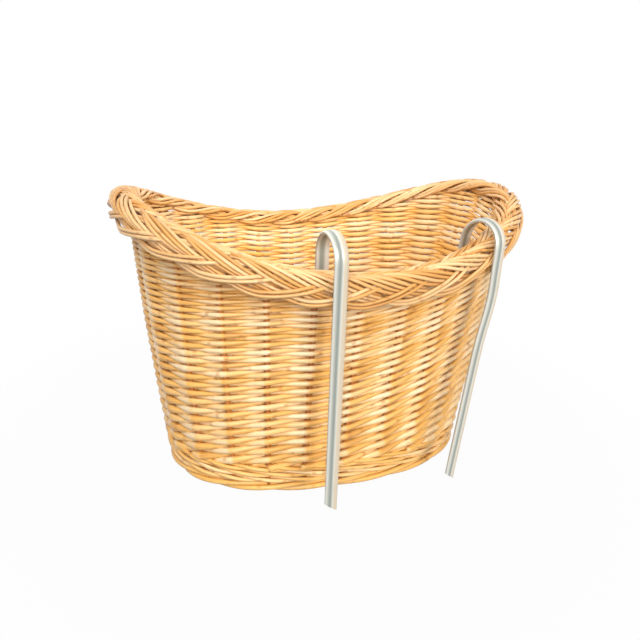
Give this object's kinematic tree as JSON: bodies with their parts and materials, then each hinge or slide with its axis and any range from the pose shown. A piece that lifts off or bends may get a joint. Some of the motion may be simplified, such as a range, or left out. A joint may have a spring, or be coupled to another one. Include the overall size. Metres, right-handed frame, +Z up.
{
  "type": "bicycle basket",
  "caption": "Oval woven willow handlebar basket with a dipped, plaited border and bent aluminium strip hooks that straddle its rim and slide up off it.",
  "frame": {"origin": "on the floor under the middle of the base", "axes": "+Z up, +X along the basket's length, -Y towards the side that carries the hooks"},
  "size_m": [0.3986, 0.2869, 0.2756],
  "materials": {
    "willow_weave": "peeled, semi-gloss varnish",
    "willow_stakes": "peeled, semi-gloss varnish",
    "willow_border": "peeled, semi-gloss varnish",
    "willow_sticks": "peeled, semi-gloss varnish",
    "aluminium_strip": "satin drawn strip"
  },
  "bodies": {
    "basket": {"base_weave": "willow_weave", "foot_wale": "willow_weave", "upsett_wale": "willow_weave", "side_weave_lower": "willow_weave", "side_weave_upper": "willow_weave", "base_stick_long_1": "willow_sticks", "base_stick_long_2": "willow_sticks", "base_stick_long_3": "willow_sticks", "base_stick_cross_1": "willow_sticks", "base_stick_cross_2": "willow_sticks", "base_stick_cross_3": "willow_sticks", "base_stick_cross_4": "willow_sticks", "base_stick_cross_5": "willow_sticks", "base_stick_cross_6": "willow_sticks", "base_stick_cross_7": "willow_sticks", "stake_01": "willow_stakes", "stake_02": "willow_stakes", "stake_03": "willow_stakes", "stake_04": "willow_stakes", "stake_05": "willow_stakes", "stake_06": "willow_stakes", "stake_07": "willow_stakes", "stake_08": "willow_stakes", "stake_09": "willow_stakes", "stake_10": "willow_stakes", "stake_11": "willow_stakes", "stake_12": "willow_stakes", "stake_13": "willow_stakes", "stake_14": "willow_stakes", "stake_15": "willow_stakes", "stake_16": "willow_stakes", "stake_17": "willow_stakes", "stake_18": "willow_stakes", "stake_19": "willow_stakes", "stake_20": "willow_stakes", "stake_21": "willow_stakes", "stake_22": "willow_stakes", "stake_23": "willow_stakes", "stake_24": "willow_stakes", "border_strand_1": "willow_border", "border_strand_2": "willow_border", "border_strand_3": "willow_border"},
    "hook_left": {"hook_left": "aluminium_strip"},
    "hook_right": {"hook_right": "aluminium_strip"}
  },
  "joints": [
    {"name": "hook_left_slide", "type": "slide", "parent": "basket", "child": "hook_left", "axis": [-0.0252, -0.0441, 0.9987], "range_m": [-0.022, 0.05]},
    {"name": "hook_right_slide", "type": "slide", "parent": "basket", "child": "hook_right", "axis": [0.066, -0.0225, 0.9976], "range_m": [-0.006, 0.07]}
  ]
}
